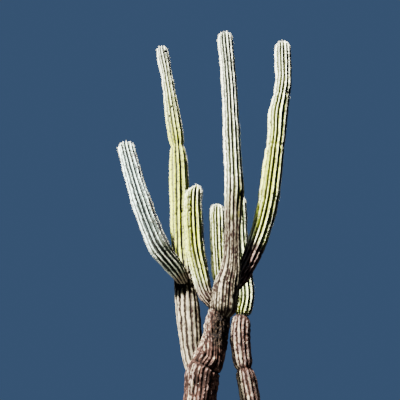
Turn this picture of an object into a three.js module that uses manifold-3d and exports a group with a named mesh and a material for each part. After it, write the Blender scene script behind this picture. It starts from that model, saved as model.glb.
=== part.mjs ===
// A branched columnar desert cactus, about 11 m tall, rooted in level ground.
//
// One ribbed trunk leans to the right and forks 2.2 m up into a left stem and
// its own upper part, which carries the centre arm. Each stem and arm is a
// ribbed column that follows a smooth line, swells and narrows with the years'
// growth, is nipped in at the growth joints and ends in a round dome.
// A second, thinner stem leaves the root crown low down behind the trunk.
//
// Millimetres, +Z up, +X to the viewer's right, the viewer looks along +Y.
// The origin is the middle of the trunk's flat cut at ground level.

import * as THREE from 'three';
import { mergeVertices } from 'three/addons/utils/BufferGeometryUtils.js';
import Module from 'manifold-3d';

const wasm = await Module();
wasm.setup();

// Ribs: their usual number, and how deep the furrows are as a share of the
// radius, on the old corky wood near the ground and on the green flesh.
const RIBS = 13;
const POINTS_PER_RIB = 3;
const WOOD_FURROW = 0.11;
const GREEN_FURROW = 0.2;
const WOOD_TOP = 1600;
const GREEN_FOOT = 4000;

// Spacing of the rings that a stem is built from, along straight stretches and
// round bends, and the clearance left between two pieces that meet.
const STEM_STEP = 620;
const BEND_STEP = 190;
const CLEARANCE = 0.4;

// The block of ground that cuts the trunk and the rear stem's root flat.
const GROUND_WIDTH = 4000;
const GROUND_DEPTH = 800;

// The height of a dome as a share of the stem's radius there, and the shares
// of that height at which a dome has a ring.
const DOME_SHARE = 1.05;
const DOME_RINGS = [0, 0.42, 0.74, 0.93, 1];
const NIP_RINGS = [-1.8, -0.8, 0, 0.8, 1.8];
const FOOT_RINGS = [0, 0.25, 0.55, 1];
const FOOT_NARROW = 0.5;

const COLOURS = {
  wood: { color: 0x8d7666, roughness: 0.95, metalness: 0 },
  grey: { color: 0xa9a78f, roughness: 0.85, metalness: 0 },
  green: { color: 0x9fa565, roughness: 0.8, metalness: 0 },
};

// Each limb is a run of stations [x, y, z, radius] from inside what carries it
// to its tip. pieces are its solids from the foot up, parted at the heights in
// splits. A joint is a nipped ring at a height, with its depth as a share of
// the radius and its half-width along the stem. cutBy names the limbs that this
// one is seated on, bends the pieces that curve, and ribs gives the number on
// the pieces that have fewer than usual.
const LIMBS = {
  trunk: {
    pieces: { trunk: 'wood' },
    stations: [
      [0, 0, -80, 480],
      [10, 0, 250, 388],
      [30, 0, 700, 350],
      [118, 0, 1730, 298],
      [165, -10, 2120, 312],
      [298, -20, 2420, 282],
      [400, -30, 2720, 247],
      [462, -45, 3030, 240],
      [498, -60, 3240, 205],
      [520, -75, 3430, 140],
    ],
    splits: [],
    joints: [{ z: 2250, depth: 0.05, width: 45 }],
  },
  left: {
    pieces: { left_stem: 'wood', tall_arm_lower: 'green', tall_arm_upper: 'green' },
    stations: [
      [150, 40, 1950, 165],
      [50, 130, 2250, 198],
      [-25, 200, 2550, 200],
      [-75, 270, 2930, 222],
      [-135, 340, 3420, 234],
      [-225, 395, 3980, 212],
      [-295, 425, 4600, 198],
      [-325, 445, 5300, 206],
      [-355, 475, 6050, 228],
      [-385, 495, 6720, 222],
      [-445, 515, 7400, 198],
      [-560, 535, 8140, 196],
      [-666, 552, 8880, 173],
      [-776, 570, 9600, 158],
      [-890, 588, 10230, 166],
      [-985, 600, 10800, 161],
    ],
    splits: [4040, 7290],
    joints: [
      { z: 4040, depth: 0.05, width: 60 },
      { z: 7290, depth: 0.25, width: 130 },
    ],
    cutBy: ['trunk'],
    ribs: { tall_arm_lower: 11, tall_arm_upper: 11 },
  },
  left_arm: {
    pieces: { left_arm_elbow: 'grey', left_arm: 'grey' },
    stations: [
      [-148, 340, 3784, 90],
      [-332, 120, 4035, 170],
      [-660, -130, 4385, 200],
      [-853, -180, 4780, 201],
      [-1041, -200, 5250, 203],
      [-1226, -160, 5769, 196],
      [-1535, 40, 6760, 195],
      [-1622, 120, 7085, 186],
    ],
    splits: [4600],
    joints: [],
    cutBy: ['left'],
    bends: ['left_arm_elbow'],
  },
  centre: {
    pieces: { centre_arm_lower: 'wood', centre_arm_upper: 'grey' },
    stations: [
      [520, -80, 3075, 262],
      [560, -95, 3360, 270],
      [625, -108, 3660, 260],
      [708, -115, 3940, 212],
      [755, -120, 4290, 174],
      [783, -128, 4720, 170],
      [812, -138, 5230, 185],
      [848, -145, 5720, 208],
      [850, -152, 6350, 192],
      [845, -162, 7100, 197],
      [846, -175, 8000, 190],
      [832, -183, 8800, 188],
      [806, -192, 9600, 193],
      [786, -200, 10080, 195],
      [784, -202, 10420, 190],
    ],
    splits: [5560],
    joints: [{ z: 6330, depth: 0.04, width: 90 }],
    foot: 190,
    cutBy: ['trunk'],
  },
  short_arm: {
    pieces: { short_arm_elbow: 'green', short_arm: 'green' },
    stations: [
      [430, -95, 3230, 70],
      [275, -110, 3420, 122],
      [191, -120, 3610, 148],
      [58, -178, 4210, 182],
      [10, -215, 4620, 190],
      [-20, -270, 5400, 188],
      [38, -300, 5750, 170],
    ],
    splits: [3820],
    joints: [],
    cutBy: ['centre', 'trunk'],
    bends: ['short_arm_elbow'],
  },
  right_arm: {
    pieces: { right_arm_elbow: 'grey', right_arm_lower: 'green', right_arm_upper: 'green' },
    stations: [
      [741, 20, 3627, 92],
      [864, 57, 3786, 139],
      [984, 103, 3980, 163],
      [1289, 215, 4613, 198],
      [1566, 215, 5425, 223],
      [1722, 225, 6150, 235],
      [1856, 243, 6849, 223],
      [1972, 255, 7431, 222],
      [2063, 264, 8077, 242],
      [2197, 272, 8642, 217],
      [2311, 280, 9213, 206],
      [2374, 290, 9959, 216],
      [2422, 300, 10650, 210],
    ],
    splits: [4790, 8710],
    joints: [
      { z: 7090, depth: 0.04, width: 85 },
      { z: 8710, depth: 0.1, width: 100 },
    ],
    cutBy: ['centre'],
    bends: ['right_arm_elbow'],
  },
  rear: {
    pieces: {
      rear_stem_root: 'wood',
      rear_stem_foot: 'wood',
      rear_stem_middle: 'wood',
      rear_stem_top: 'green',
    },
    stations: [
      [240, 144, -63, 230],
      [570, 484, 159, 237],
      [886, 880, 508, 233],
      [1086, 1181, 977, 215],
      [1136, 1280, 1470, 197],
      [1082, 1290, 2011, 204],
      [999, 1310, 2509, 208],
      [981, 1325, 2953, 223],
      [1029, 1340, 3375, 206],
      [1129, 1352, 3786, 210],
      [1115, 1370, 4327, 212],
      [1081, 1395, 5116, 202],
      [1085, 1415, 5764, 201],
      [1103, 1430, 6390, 195],
    ],
    splits: [650, 2315, 3397],
    joints: [
      { z: 2315, depth: 0.17, width: 103 },
      { z: 3397, depth: 0.22, width: 103 },
    ],
    cutBy: ['trunk'],
    bends: ['rear_stem_root'],
  },
  rear_arm: {
    pieces: { rear_arm_elbow: 'green', rear_arm: 'green' },
    stations: [
      [1105, 1360, 3688, 87],
      [938, 1320, 3763, 138],
      [736, 1200, 3872, 159],
      [592, 1060, 4102, 166],
      [540, 990, 4488, 172],
      [524, 980, 5511, 180],
      [529, 990, 5940, 174],
    ],
    splits: [4270],
    joints: [],
    cutBy: ['rear'],
    bends: ['rear_arm_elbow'],
  },
};

const VIEWER = new THREE.Vector3(0, -1, 0);

// A limb's centre line and radius, read by the distance s along it.
class Limb {
  constructor(spec) {
    Object.assign(this, { cutBy: [], bends: [], ribs: {}, foot: 0, ...spec });
    const points = spec.stations.map(([x, y, z]) => new THREE.Vector3(x, y, z));
    const radii = spec.stations.map(([, , , r]) => new THREE.Vector3(r, 0, 0));
    this.line = new THREE.CatmullRomCurve3(points, false, 'catmullrom');
    this.radii = new THREE.CatmullRomCurve3(radii, false, 'catmullrom');
    this.length = this.line.getLength();
    this.domeHeight = DOME_SHARE * spec.stations.at(-1)[3];
    this.nips = spec.joints.map((joint) => ({ ...joint, s: this.reach(joint.z) }));
  }

  // The distance along the line at which it reaches a height.
  reach(z) {
    let low = 0;
    let high = this.length;
    while (high - low > 0.01) {
      const middle = (low + high) / 2;
      if (this.line.getPointAt(middle / this.length).z < z) low = middle;
      else high = middle;
    }
    return low;
  }

  // The point on the line at s, which runs straight on past both ends.
  point(s) {
    const inside = THREE.MathUtils.clamp(s, 0, this.length);
    const u = inside / this.length;
    return this.line.getPointAt(u).addScaledVector(this.line.getTangentAt(u), s - inside);
  }

  // The axes of the ring at s: towards the viewer, across, and along the line.
  axes(s) {
    const along = this.line.getTangentAt(THREE.MathUtils.clamp(s / this.length, 0, 1));
    const front = VIEWER.clone().addScaledVector(along, -VIEWER.dot(along)).normalize();
    return { front, across: along.clone().cross(front), along };
  }

  // The rib's crest radius at s, nipped in at the joints.
  radius(s) {
    const u = THREE.MathUtils.clamp(s / this.length, 0, 1);
    const plain = this.radii.getPoint(this.line.getUtoTmapping(u)).x;
    return this.nips.reduce((r, nip) => r * (1 - nip.depth * Math.exp(-(((s - nip.s) / nip.width) ** 2))), plain);
  }

  // The share of the radius that the rounding at the foot and tip leaves.
  rounding(s) {
    const foot = this.foot > 0 && s < this.foot
      ? FOOT_NARROW + (1 - FOOT_NARROW) * Math.sin((Math.PI / 2) * (s / this.foot))
      : 1;
    const up = (s - (this.length - this.domeHeight)) / this.domeHeight;
    return up > 0 ? foot * Math.sqrt(Math.max(0, 1 - up * up)) : foot;
  }

  // The distances at which a stretch of the limb has rings.
  rings(from, to, step) {
    const count = Math.ceil((to - from) / step);
    const places = Array.from({ length: count + 1 }, (_, i) => from + ((to - from) * i) / count);
    for (const nip of this.nips) {
      places.push(...NIP_RINGS.map((share) => nip.s + share * nip.width));
    }
    if (this.foot > 0) places.push(...FOOT_RINGS.map((share) => share * this.foot));
    const domeFoot = this.length - this.domeHeight;
    places.push(...DOME_RINGS.map((share) => domeFoot + share * this.domeHeight));
    const kept = places.filter((s) => s >= from && s <= to).sort((a, b) => a - b);
    const tooClose = (s, i) => {
      const fixed = s === from || s === to || s > domeFoot;
      return !fixed && i > 0 && s - kept[i - 1] < 0.16 * step;
    };
    return kept.filter((s, i) => !tooClose(s, i) && s !== kept[i - 1]);
  }
}

// How deep the furrows are at a height, as a share of the radius.
function furrow(z) {
  return THREE.MathUtils.mapLinear(
    THREE.MathUtils.smoothstep(z, WOOD_TOP, GREEN_FOOT), 0, 1, WOOD_FURROW, GREEN_FURROW);
}

// The closed, ribbed skin of a limb between two distances, grown outwards.
function stretchGeometry(limb, { from, to, step, ribs }, grow = 0) {
  const rings = limb.rings(from, to, step);
  const open = rings.map((s) => new THREE.Vector2(1, s));
  const endsInDome = to >= limb.length;
  const profile = [
    new THREE.Vector2(0, rings[0] - grow),
    ...(endsInDome ? open.slice(0, -1) : open),
    new THREE.Vector2(0, rings.at(-1) + grow),
  ];
  if (grow > 0) {
    profile.splice(1, 0, new THREE.Vector2(1, rings[0] - grow));
    if (!endsInDome) profile.splice(-1, 0, new THREE.Vector2(1, rings.at(-1) + grow));
  }
  const columns = ribs * POINTS_PER_RIB;
  const geometry = new THREE.LatheGeometry(profile, columns);
  const position = geometry.attributes.position;
  for (let i = 0; i < position.count; i += 1) {
    const column = Math.floor(i / profile.length) % columns;
    const { x: share, y: s } = profile[i % profile.length];
    const centre = limb.point(s);
    const inFurrow = column % POINTS_PER_RIB === 0 ? 1 : 0;
    const crest = (limb.radius(s) * limb.rounding(s) + grow / (1 - GREEN_FURROW)) * share;
    const reach = crest * (1 - inFurrow * furrow(centre.z));
    const turn = (2 * Math.PI * column) / columns;
    const { front, across } = limb.axes(s);
    centre.addScaledVector(front, reach * Math.cos(turn)).addScaledVector(across, reach * Math.sin(turn));
    position.setXYZ(i, centre.x, centre.y, centre.z);
  }
  return geometry;
}

// A closed solid from a geometry, without the collapsed faces at its poles.
function toSolid(geometry) {
  geometry.deleteAttribute('normal');
  geometry.deleteAttribute('uv');
  const merged = mergeVertices(geometry);
  const faces = [];
  for (let i = 0; i < merged.index.count; i += 3) {
    const [a, b, c] = [0, 1, 2].map((k) => merged.index.getX(i + k));
    if (a !== b && b !== c && c !== a) faces.push(a, b, c);
  }
  return new wasm.Manifold(new wasm.Mesh({
    numProp: 3,
    vertProperties: new Float32Array(merged.attributes.position.array),
    triVerts: new Uint32Array(faces),
  }));
}

function toMesh(name, solid, finish) {
  const { vertProperties, triVerts } = solid.getMesh();
  const geometry = new THREE.BufferGeometry();
  geometry.setAttribute('position', new THREE.BufferAttribute(vertProperties, 3));
  geometry.setIndex(new THREE.BufferAttribute(triVerts, 1));
  geometry.computeVertexNormals();
  const mesh = new THREE.Mesh(geometry, new THREE.MeshStandardMaterial(COLOURS[finish]));
  mesh.name = name;
  return mesh;
}

// The largest body of a cut piece, so that no loose scrap is left beside it.
function largest(solid) {
  return solid.decompose().reduce((best, body) => (body.volume() > best.volume() ? body : best));
}

function groundBlock() {
  const block = new THREE.BoxGeometry(GROUND_WIDTH, GROUND_WIDTH, GROUND_DEPTH);
  block.translate(0, 0, -GROUND_DEPTH / 2);
  return toSolid(block);
}

const limbs = Object.fromEntries(Object.entries(LIMBS).map(([name, spec]) => [name, new Limb(spec)]));
const ground = groundBlock();
const seats = {};

// The stretches of a limb, one for each of its pieces.
function stretches(limb) {
  const ends = [0, ...limb.splits.map((z) => limb.reach(z)), limb.length];
  return Object.entries(limb.pieces).map(([name, finish], i) => ({
    name,
    finish,
    from: ends[i] + (i > 0 ? CLEARANCE : 0),
    to: ends[i + 1],
    step: limb.bends.includes(name) ? BEND_STEP : STEM_STEP,
    ribs: limb.ribs[name] ?? RIBS,
  }));
}

// The room that a whole limb takes from the pieces that are seated on it.
function seat(name) {
  const limb = limbs[name];
  seats[name] ??= stretches(limb)
    .map((stretch) => toSolid(stretchGeometry(limb, stretch, CLEARANCE)))
    .reduce((whole, part) => whole.add(part));
  return seats[name];
}

function buildLimb(limb) {
  return stretches(limb).map((stretch) => {
    let solid = toSolid(stretchGeometry(limb, stretch));
    for (const other of limb.cutBy) solid = solid.subtract(seat(other));
    return toMesh(stretch.name, largest(solid.subtract(ground)), stretch.finish);
  });
}

const cactus = new THREE.Group();
cactus.name = 'cactus';
for (const limb of Object.values(limbs)) cactus.add(...buildLimb(limb));

export default cactus;
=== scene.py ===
"""A branched columnar desert cactus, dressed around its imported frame.

Every stem and arm is a ribbed skin with its bark, growth joints and scars in
the mesh, woolly areoles down the crests of its ribs, and spines that are
longest and thickest at the growing tips. Metres, +Z up, +X to the viewer's
right, and the viewer looks along +Y.
"""

import logging
import math
from dataclasses import dataclass
from enum import Enum
from itertools import product
from typing import Any

import bmesh
import bpy
import numpy as np
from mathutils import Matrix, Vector


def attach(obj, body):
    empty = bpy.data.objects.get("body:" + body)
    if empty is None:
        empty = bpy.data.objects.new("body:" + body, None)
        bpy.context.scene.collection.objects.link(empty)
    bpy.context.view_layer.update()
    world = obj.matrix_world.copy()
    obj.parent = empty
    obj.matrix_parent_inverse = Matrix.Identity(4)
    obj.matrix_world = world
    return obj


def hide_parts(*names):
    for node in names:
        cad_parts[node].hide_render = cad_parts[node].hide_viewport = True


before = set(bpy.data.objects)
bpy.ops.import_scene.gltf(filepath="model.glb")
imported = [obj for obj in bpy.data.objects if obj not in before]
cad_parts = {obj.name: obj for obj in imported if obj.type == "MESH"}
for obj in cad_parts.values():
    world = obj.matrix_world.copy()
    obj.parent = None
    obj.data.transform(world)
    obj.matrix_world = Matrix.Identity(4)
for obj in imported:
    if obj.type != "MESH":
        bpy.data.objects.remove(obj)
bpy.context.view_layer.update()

LOG = logging.getLogger("cactus")
BODY = "root"

Array = np.ndarray
Colour = tuple[float, float, float]
Scale = tuple[float, float, float]
Span = tuple[float, float]
Stations = tuple[tuple[float, float, float, float], ...]
Levels = tuple[tuple[float, float], ...]
Tints = tuple[bpy.types.Material, ...]

# The hash behind the lattice noise.
HASH_FACTORS = np.array([374761393, 668265263, 1442695041])
SEED_FACTOR = 974634777
STIR_FACTOR = 1274126177
HASH_MASK = 0x7FFFFFFF

# The centre lines.
LINE_DIVISIONS = 200
TABLE_STEP = 0.01
LINE_NUDGE = 1e-4
TOWARDS_VIEWER = np.array([0.0, -1.0, 0.0])

# The meshes. A skin's face with CAP_SIDES sides or more is a flat cap.
COLUMNS_PER_RIB = 14
RING_STEP = 0.019
RING_SAMPLES = 3000
RING_CROWDING = 1.5
TUBE_RADIUS = 1.0
DOME_RINGS = 16
CAP_SIDES = 5
WELD_DISTANCE = 1e-4

# The shapes of the tip, the foot, the growth joints, the marks and the ribs.
DOME_SHARE = 1.05
FOOT_NARROW = 0.5
JOINT_CREASE = 0.3
JOINT_CURVE = 1.6
CREASE_SHARPNESS = 5
DIP_WIDTH = 0.5
MARK_CURVE = 1.5
MARK_FRAY = 0.5
SPLIT_WIDTH = 0.15
SPLIT_PARTING = (-0.6, 0.0)
SCAR_FLAT = 0.85
SWELL_SHARE = 0.04
CRACKED_RIBS = (0.0, 0.3)
CRACK_WIDTH = (0.0, 0.1)

# How round the crests are, on green and on woody ribs.
CREST_ROUND = (0.25, 1.0)

# How far the ribs stray from even spacing, in ribs, on smooth and on gnarled wood.
STRAY = (0.10, 0.24)
STRAY_FINE = 0.12

# How the patterns' own places are laid out: the radius of a stem in them, and how
# far apart stems, ribs and metres along a rib lie.
FLOW_RADIUS = 0.2
FLOW_APART = 7.3
STEMS_APART = 3.1
RIBS_APART = 5.7
METRE_APART = 1.9

# Where areoles begin and end on a crest, how far they stray, as a share of their
# step, how few are left on wood, and how high a rooted stem's foot is bare.
CREST_START = 0.05
CREST_END = 0.02
AREOLE_STRAY = 0.3
AREOLE_NUDGE = 0.006
UPWARD_TOUCH = 1e-3
SIDE_OFFSET = 0.01
LEAST_LENGTH = 1e-9
WOOD_BARE = (0.05, 0.6)
BARE_SHARE = 0.995
BARE_FOOT = 0.3

# The side the key light comes from, measured from the one that faces the viewer,
# and how far the flanks of a rib turn from its crest. The bark is paler towards
# that side, partly as sun-bleaching and partly as painted light, and the flanks of
# the ribs take painted light towards it and painted shade away from it.
SUN_BLEACH_AND_PAINTED_LIGHT = 0.55
KEY_LIGHT_SIDE = math.radians(-55)
FLANK_LEAN = math.radians(60)


class Slot(Enum):
    """The record's material slots."""

    WOOD = "corky_wood"
    GREY = "grey_skin"
    GREEN = "green_skin"
    SPINES = "spines"


class Trait(Enum):
    """What each point of a skin tells its material."""

    HEIGHT = "rib_height"
    WOOD = "woodiness"
    # Bleaching; on bark it is higher towards the key light, partly as painted light.
    BLEACH = "bleaching"
    # Scars, and patches of painted shadow.
    SCAR = "scarring"
    TIP = "tip_share"
    GNARL = "gnarl"
    TINT = "rib_tint"
    # Painted light: 1 on rib flanks turned towards the key light, 0 away from it.
    SUNNED = "sunned_flank"
    FLOW = "stem_flow"


def lattice_noise(points: Array, seed: int) -> Array:
    """Smooth noise between random values on a lattice of unit cells.

    Args:
        points: Places, one row of three coordinates each.
        seed: Picks one of many noise fields.

    Returns:
        A value from -1 to 1 for each row.
    """
    cell = np.floor(points).astype(np.int64)
    share = points - cell
    share = share * share * (3 - 2 * share)
    total = np.zeros(len(points))
    for corner in product((0, 1), repeat=3):
        code = (cell + np.array(corner)) @ HASH_FACTORS
        code = (code + seed * SEED_FACTOR) & HASH_MASK
        code = ((code ^ (code >> 13)) * STIR_FACTOR) & HASH_MASK
        value = ((code ^ (code >> 16)) & 0xFFFF) / 32767.5 - 1
        total += value * np.where(np.array(corner) == 1, share, 1 - share).prod(axis=1)
    return total


def blend(low: Array | float, high: Array | float, share: Array) -> Array:
    """Mixes two values by a share from 0 to 1."""
    return low + (high - low) * share


def smooth_step(value: Array, low: float, high: float) -> Array:
    """Rises smoothly from 0 at low to 1 at high."""
    share = np.clip((value - low) / (high - low), 0, 1)
    return share * share * (3 - 2 * share)


def read_levels(levels: Levels, z: Array) -> Array:
    """Reads a value that is given at a few heights, lowest first."""
    heights, values = zip(*levels)
    return np.interp(z, heights, values)


def unit(rows: Array) -> Array:
    """Scales each row to a length of one."""
    return rows / np.linalg.norm(rows, axis=1, keepdims=True)


def through(knots: Array, places: Array) -> Array:
    """Reads the smooth line through some knots.

    Args:
        knots: The knots, one row each.
        places: Shares of the way from the first knot to the last, from 0 to 1.

    Returns:
        One row for each place.
    """
    spans = len(knots) - 1
    way = np.clip(places, 0, 1) * spans
    span = np.minimum(way.astype(int), spans - 1)
    w = (way - span)[:, None]
    padded = np.vstack([2 * knots[0] - knots[1], knots, 2 * knots[-1] - knots[-2]])
    before, start, end, after = (padded[span + k] for k in range(4))
    leave, arrive = 0.5 * (end - before), 0.5 * (after - start)
    return (
        start
        + w * leave
        + w**2 * (3 * (end - start) - 2 * leave - arrive)
        + w**3 * (2 * (start - end) + leave + arrive)
    )


@dataclass(frozen=True)
class Pattern:
    """A noise in the skins, with its own scale each way and its own number."""

    scale: Scale
    number: int

    def at(self, places: Array, seed: int) -> Array:
        """Reads the noise at some places of the stem with this seed."""
        return lattice_noise(places * self.scale, seed + self.number)


# Patterns that follow a stem: across, across and along it.
WANDER = Pattern((4, 4, 1.7), 0)
FRAY = Pattern((9, 9, 5), 1)
KNOBS = Pattern((13, 13, 9), 3)
GRIT = Pattern((34, 34, 20), 4)
RINGS = Pattern((0.6, 0.6, 5.0), 6)

# Patterns of each rib by itself: from rib to rib, along it, and from stem to stem.
SWELL = Pattern((1, 1, 1), 2)
PLATES = Pattern((1, 3.0, 1), 5)
CRACKS = Pattern((1, 1.3, 1), 7)
HUES = Pattern((1, 0.4, 1), 8)
PARTING = Pattern((1, 0.5, 1), 9)


@dataclass(frozen=True)
class Relief:
    """How much each fine pattern lifts a surface, and the gaps lower it."""

    knobs: float
    grit: float
    rings: float = 0.0
    gaps: float = 0.0

    def lift(self, knobs: Array, grit: Array, rings: Array, gaps: Array) -> Array:
        """Adds up what the four patterns do."""
        return self.knobs * knobs + self.grit * grit + self.rings * rings - self.gaps * gaps


BARK_RELIEF = Relief(knobs=0.014, grit=0.011, gaps=0.018)
BARK_WEAR = Relief(knobs=0.14, grit=0.12, gaps=0.4)
SKIN_RELIEF = Relief(knobs=0.004, grit=0.003, rings=0.009)
SCAR_RELIEF = Relief(knobs=0.010, grit=0.010)


@dataclass(frozen=True)
class Joint:
    """A growth joint: a ring nipped into a stem.

    Its depth is a share of the radius, its width runs along the stem, its dip
    is how far the crests sink to the furrows there, and its crease is how much
    deeper a sharp line in its middle goes, as a share of the depth.
    """

    z: float
    depth: float
    width: float
    dip: float = 0.0
    crease: float = JOINT_CREASE


@dataclass(frozen=True)
class Mark:
    """A dent, hole or torn place in a stem's skin, or a patch of painted shadow.

    Its turn is in degrees from the side that faces the viewer, to the right.
    """

    z: float
    turn: float
    across: float
    tall: float
    depth: float
    dark: float = 1.0
    ragged: float = 0.5


class Course:
    """A stem's centre line with its ring axes and crest radius, read by distance."""

    def __init__(self, stations: Stations) -> None:
        """Lays out the line.

        Args:
            stations: Points of the line with the crest radius at each.
        """
        knots = np.array(stations)
        shares = np.linspace(0, 1, LINE_DIVISIONS + 1)
        chords = np.diff(through(knots[:, :3], shares), axis=0)
        walked = np.concatenate([[0.0], np.cumsum(np.linalg.norm(chords, axis=1))])
        self.length = float(walked[-1])
        self.tip_radius = stations[-1][3]
        self.table = np.linspace(0, self.length, math.ceil(self.length / TABLE_STEP))
        place = np.interp(self.table, walked, shares)
        ahead, behind = through(knots, place + LINE_NUDGE), through(knots, place - LINE_NUDGE)
        along = unit(ahead[:, :3] - behind[:, :3])
        front = unit(TOWARDS_VIEWER - along * (along @ TOWARDS_VIEWER)[:, None])
        self.rows = np.hstack([through(knots, place), front, np.cross(along, front), along])

    def read(self, s: Array) -> tuple[Array, Array, Array, Array, Array]:
        """Reads the line at some distances.

        Args:
            s: Distances from the foot.

        Returns:
            The centres, crest radii, and the axes to the front, across and along.
        """
        rows = np.stack([np.interp(s, self.table, column) for column in self.rows.T], axis=1)
        return rows[:, :3], rows[:, 3], rows[:, 4:7], rows[:, 7:10], rows[:, 10:]

    def reach(self, z: float) -> float:
        """The distance at which the line reaches a height."""
        return float(np.interp(z, self.rows[:, 2], self.table))


@dataclass(frozen=True)
class Surface:
    """Points on a stem's skin, with what its material needs at each."""

    points: Array
    outward: Array
    along: Array
    traits: dict[Trait, Array]


def link(name: str, mesh: bpy.types.Mesh) -> bpy.types.Object:
    """Puts a mesh into the scene as an object at the origin.

    Args:
        name: The object's name.
        mesh: The mesh.

    Returns:
        The new object.
    """
    piece = bpy.data.objects.new(name, mesh)
    bpy.context.scene.collection.objects.link(piece)
    return piece


@dataclass(frozen=True)
class Scatter:
    """One small closed shape, copied many times into one mesh."""

    shape: bmesh.types.BMesh
    tints: Tints

    def build(self, name: str, origins: Array, axes: Array, picks: Array) -> bpy.types.Object:
        """Joins the copies into one object.

        Args:
            name: The piece's name.
            origins: Where each copy's origin goes.
            axes: Each copy's three scaled axes, one row each.
            picks: Which tint each copy takes.

        Returns:
            The new object.
        """
        corners = np.array([v.co for v in self.shape.verts])
        faces = [[v.index for v in f.verts] for f in self.shape.faces]
        self.shape.free()
        points = origins[:, None] + np.einsum("ck,nkd->ncd", corners, axes)
        starts = np.arange(len(origins)) * len(corners)
        polygons = [[start + c for c in face] for start in starts.tolist() for face in faces]
        mesh = bpy.data.meshes.new(name)
        mesh.from_pydata(points.reshape(-1, 3).tolist(), [], polygons)
        for tint in self.tints:
            mesh.materials.append(tint)
        indices = np.repeat(picks, len(faces)).astype(np.int32)
        mesh.polygons.foreach_set("material_index", indices)
        mesh.shade_smooth()
        return link(name, mesh)


@dataclass(frozen=True)
class Areoles:
    """The places on a stem that carry wool and spines.

    Each has its distance to the stem's tip, and its axes across, up and out.
    """

    points: Array
    to_tip: Array
    axes: Array

    def youth(self, tip_zone: Span) -> Array:
        """How young each is: 1 at the tip, falling to 0 over a zone."""
        return 1 - smooth_step(self.to_tip, *tip_zone)


@dataclass(frozen=True)
class WoolPads:
    """The woolly pads down the crests of a stem's ribs.

    The width, height and depth each go from low on the stem to its tip.
    """

    width: Span = (0.0065, 0.009)
    height: Span = (0.010, 0.012)
    depth: Span = (0.006, 0.010)
    variety: Span = (0.75, 1.25)
    tip_zone: Span = (0.1, 0.55)
    white_share: float = 0.6
    sides: int = 5
    taper: float = 0.5

    def build(
        self, name: str, areoles: Areoles, random: np.random.Generator, tints: Tints
    ) -> bpy.types.Object:
        """Builds the pads as one piece.

        Args:
            name: The piece's name.
            areoles: The places that carry them.
            random: Gives each pad its size and tint.
            tints: White and grey wool.

        Returns:
            The piece.
        """
        pad = bmesh.new()
        bmesh.ops.create_cone(
            pad, cap_ends=True, segments=self.sides, radius1=1, radius2=self.taper, depth=1
        )
        young = areoles.youth(self.tip_zone)
        size = random.uniform(*self.variety, (len(young), 1))
        face = np.stack([blend(*self.width, young), blend(*self.height, young)], axis=1) * size
        sizes = np.column_stack([face, blend(*self.depth, young)])
        picks = (random.uniform(0, 1, len(young)) > self.white_share).astype(int)
        return Scatter(pad, tints).build(
            name, areoles.points, areoles.axes * sizes[:, :, None], picks
        )


@dataclass(frozen=True)
class Spines:
    """The spines of a stem, crowded and long at its tip, few and short below.

    The count, length and width each go from low on the stem to its tip. The
    lean is in degrees from straight out, and the upward share lifts them all.
    Some places at the tip carry a tuft of longer ones.
    """

    count: Span = (4.6, 7.0)
    length: Span = (0.020, 0.024)
    width: Span = (0.0014, 0.0016)
    variety: Span = (0.6, 1.15)
    lean: Span = (5.0, 50.0)
    tip_zone: Span = (0.05, 0.55)
    upward: float = 0.15
    tuft_share: float = 0.3
    tuft_length: float = 1.7
    sides: int = 3

    def build(
        self, name: str, areoles: Areoles, random: np.random.Generator, tints: Tints
    ) -> bpy.types.Object:
        """Builds the spines as one piece.

        Args:
            name: The piece's name.
            areoles: The places that carry them.
            random: Gives each spine its direction, length and tint.
            tints: The tints, the last of them twice as common as the others.

        Returns:
            The piece.
        """
        needle = bmesh.new()
        bmesh.ops.create_cone(
            needle, cap_ends=True, segments=self.sides, radius1=1, radius2=0, depth=1
        )
        bmesh.ops.remove_doubles(needle, verts=needle.verts, dist=WELD_DISTANCE)
        bmesh.ops.translate(needle, verts=needle.verts, vec=(0, 0, 0.5))
        youth = areoles.youth(self.tip_zone)
        count = np.rint(blend(*self.count, youth)).astype(int)
        owner = np.repeat(np.arange(len(youth)), count)
        many = len(owner)
        young = youth[owner]
        lean = np.radians(random.uniform(*self.lean, many))
        way = random.uniform(0, 2 * math.pi, many)
        rise = np.sin(lean) * np.sin(way) + self.upward
        local = np.stack([np.sin(lean) * np.cos(way), rise, np.cos(lean)], axis=1)
        axis = unit(np.einsum("nk,nkd->nd", local, areoles.axes[owner]))
        side = unit(np.cross(axis, areoles.axes[owner, 1] + SIDE_OFFSET))
        tuft = np.where(random.uniform(0, 1, len(youth)) < self.tuft_share, self.tuft_length, 1.0)
        length = blend(*self.length, young) * random.uniform(*self.variety, many)
        length *= blend(1.0, tuft[owner], young)
        width = blend(*self.width, young)[:, None]
        axes = np.stack([side * width, np.cross(axis, side) * width, axis * length[:, None]], axis=1)
        last = len(tints) - 1
        picks = np.minimum(random.integers(0, last + 2, many), last)
        return Scatter(needle, tints).build(name, areoles.points[owner], axes, picks)


def blank_tube(rings: int, columns: int) -> bmesh.types.BMesh:
    """A closed tube of unit radius, one unit between its rings.

    Args:
        rings: How many rings it has, the last one drawn together to a point.
        columns: How many points each ring has.

    Returns:
        The tube, standing on the origin.
    """
    tube = bmesh.new()
    bmesh.ops.create_cone(
        tube,
        cap_ends=False,
        segments=columns,
        radius1=TUBE_RADIUS,
        radius2=TUBE_RADIUS,
        depth=rings - 1,
    )
    bmesh.ops.translate(tube, verts=tube.verts, vec=(0, 0, (rings - 1) / 2))
    uprights = [e for e in tube.edges if abs(e.verts[0].co.z - e.verts[1].co.z) > 0.5]
    bmesh.ops.subdivide_edges(tube, edges=uprights, cuts=rings - 2, use_grid_fill=True)
    top = [v for v in tube.verts if v.co.z > rings - 1.5]
    bmesh.ops.pointmerge(tube, verts=top, merge_co=(0, 0, rings - 1))
    foot = [e for e in tube.edges if e.is_boundary]
    bmesh.ops.edgeloop_fill(tube, edges=foot)
    return tube


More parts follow.
